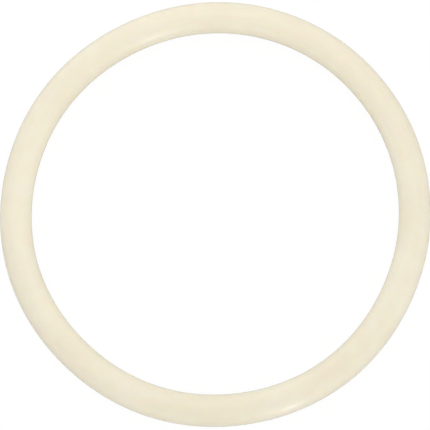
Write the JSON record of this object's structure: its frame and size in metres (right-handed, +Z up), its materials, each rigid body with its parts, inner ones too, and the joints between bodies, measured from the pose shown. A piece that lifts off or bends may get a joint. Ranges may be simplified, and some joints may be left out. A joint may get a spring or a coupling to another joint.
{
  "type": "rhythmic gymnastics hoop",
  "caption": "Plain round gymnastics hoop of thick hollow plastic tube, its butted ends joined over a curved internal plug locked by flush pins on the inner face.",
  "frame": {"origin": "centre of the ring, on the plane of the tube's centreline", "axes": "+Z up along the ring's own axis with the hoop lying flat, +X through the butt seam, +Y across the ring"},
  "size_m": [0.3, 0.3, 0.022],
  "materials": {
    "tube_plastic": "satin cream",
    "plug_plastic": "as moulded, natural white",
    "pin_plastic": "satin cream, dressed flush"
  },
  "bodies": {
    "root": {"hoop_tube": "tube_plastic", "joint_plug": "plug_plastic", "joint_pin_left": "pin_plastic", "joint_pin_right": "pin_plastic"}
  },
  "joints": []
}
